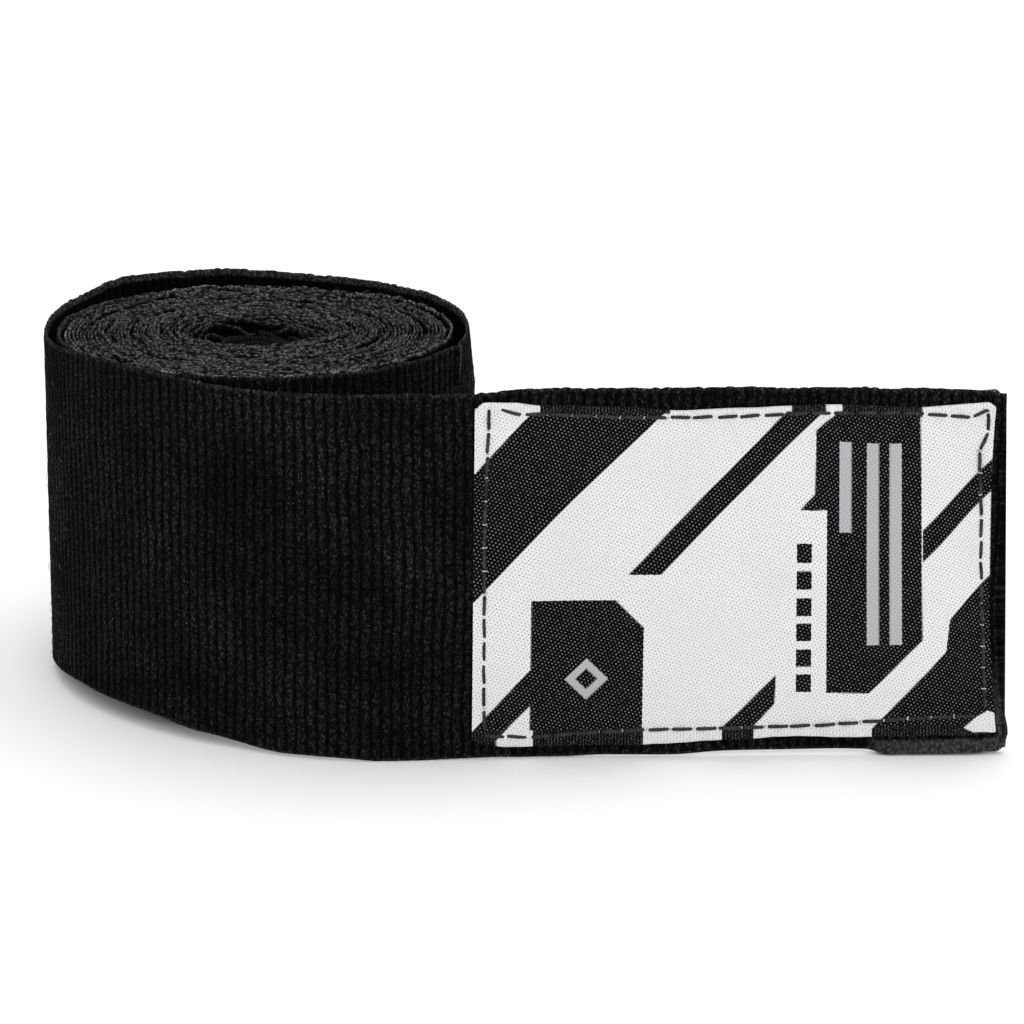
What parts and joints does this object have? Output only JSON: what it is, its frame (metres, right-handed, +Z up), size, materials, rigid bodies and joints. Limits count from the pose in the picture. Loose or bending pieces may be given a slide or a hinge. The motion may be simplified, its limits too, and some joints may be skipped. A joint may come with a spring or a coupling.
{
  "type": "hand wrap",
  "caption": "Rolled elastic hand wrap standing on edge, with its labelled tail pulled open and a hook patch that closes it round the roll.",
  "frame": {"origin": "on the surface it stands on, at the centre of the roll", "axes": "+Z up along the roll's axis, -Y out of the front where the tail leaves the roll, +X along the free tail"},
  "size_m": [0.1309, 0.0706, 0.051],
  "materials": {
    "band_knit": "black ribbed elastic knit, matt and slightly fuzzy",
    "loop_tape": "black woven tape",
    "woven_label": "black and white damask-woven label",
    "sewing_thread": "black polyester thread",
    "hook_tape": "charcoal nylon hook tape"
  },
  "bodies": {
    "roll": {"band_roll": "band_knit", "thumb_loop": "loop_tape", "thumb_loop_stitches": "sewing_thread"},
    "tail_1": {"tail_band_1": "band_knit"},
    "tail_2": {"tail_band_2": "band_knit"},
    "tail_3": {"tail_band_3": "band_knit"},
    "tail_4": {"tail_band_4": "band_knit"},
    "tail_5": {"tail_band_5": "band_knit"},
    "tail_6": {"tail_band_6": "band_knit", "label_1": "woven_label", "label_stitches_1": "sewing_thread"},
    "tail_7": {"tail_band_7": "band_knit", "label_2": "woven_label", "label_stitches_2": "sewing_thread"},
    "tail_8": {"tail_band_8": "band_knit", "label_3": "woven_label", "label_stitches_3": "sewing_thread"},
    "tail_9": {"tail_band_9": "band_knit", "label_4": "woven_label", "label_stitches_4": "sewing_thread"},
    "tail_end": {"tail_band_end": "band_knit", "label_end": "woven_label", "label_stitches_end": "sewing_thread", "hook_patch": "hook_tape", "hooks": "hook_tape"}
  },
  "joints": [
    {"name": "tail_bend_1", "type": "hinge", "parent": "roll", "child": "tail_1", "pos_m": [-0.02138, -0.02026, 0.026], "axis": [0, 0, 1], "range_deg": [-4, 7.2]},
    {"name": "tail_bend_2", "type": "hinge", "parent": "tail_1", "child": "tail_2", "pos_m": [-0.01321, -0.02817, 0.026], "axis": [0, 0, 1], "range_deg": [-4.9, 8.9]},
    {"name": "tail_bend_3", "type": "hinge", "parent": "tail_2", "child": "tail_3", "pos_m": [-0.0034, -0.03392, 0.026], "axis": [0, 0, 1], "range_deg": [-4.4, 7.9]},
    {"name": "tail_bend_4", "type": "hinge", "parent": "tail_3", "child": "tail_4", "pos_m": [0.00749, -0.03718, 0.026], "axis": [0, 0, 1], "range_deg": [-4.1, 7.4]},
    {"name": "tail_bend_5", "type": "hinge", "parent": "tail_4", "child": "tail_5", "pos_m": [0.01886, -0.03779, 0.026], "axis": [0, 0, 1], "range_deg": [-9.1, 16.4]},
    {"name": "tail_bend_6", "type": "hinge", "parent": "tail_5", "child": "tail_6", "pos_m": [0.03025, -0.03749, 0.026], "axis": [0, 0, 1], "range_deg": [-11.9, 21.4]},
    {"name": "tail_bend_7", "type": "hinge", "parent": "tail_6", "child": "tail_7", "pos_m": [0.04265, -0.03717, 0.026], "axis": [0, 0, 1], "range_deg": [-11.9, 21.4]},
    {"name": "tail_bend_8", "type": "hinge", "parent": "tail_7", "child": "tail_8", "pos_m": [0.05504, -0.03685, 0.026], "axis": [0, 0, 1], "range_deg": [-11.4, 20.6]},
    {"name": "tail_bend_9", "type": "hinge", "parent": "tail_8", "child": "tail_9", "pos_m": [0.06744, -0.03652, 0.026], "axis": [0, 0, 1], "range_deg": [-10.9, 19.7]},
    {"name": "tail_bend_10", "type": "hinge", "parent": "tail_9", "child": "tail_end", "pos_m": [0.07984, -0.03619, 0.026], "axis": [0, 0, 1], "range_deg": [-14.4, 26]}
  ]
}
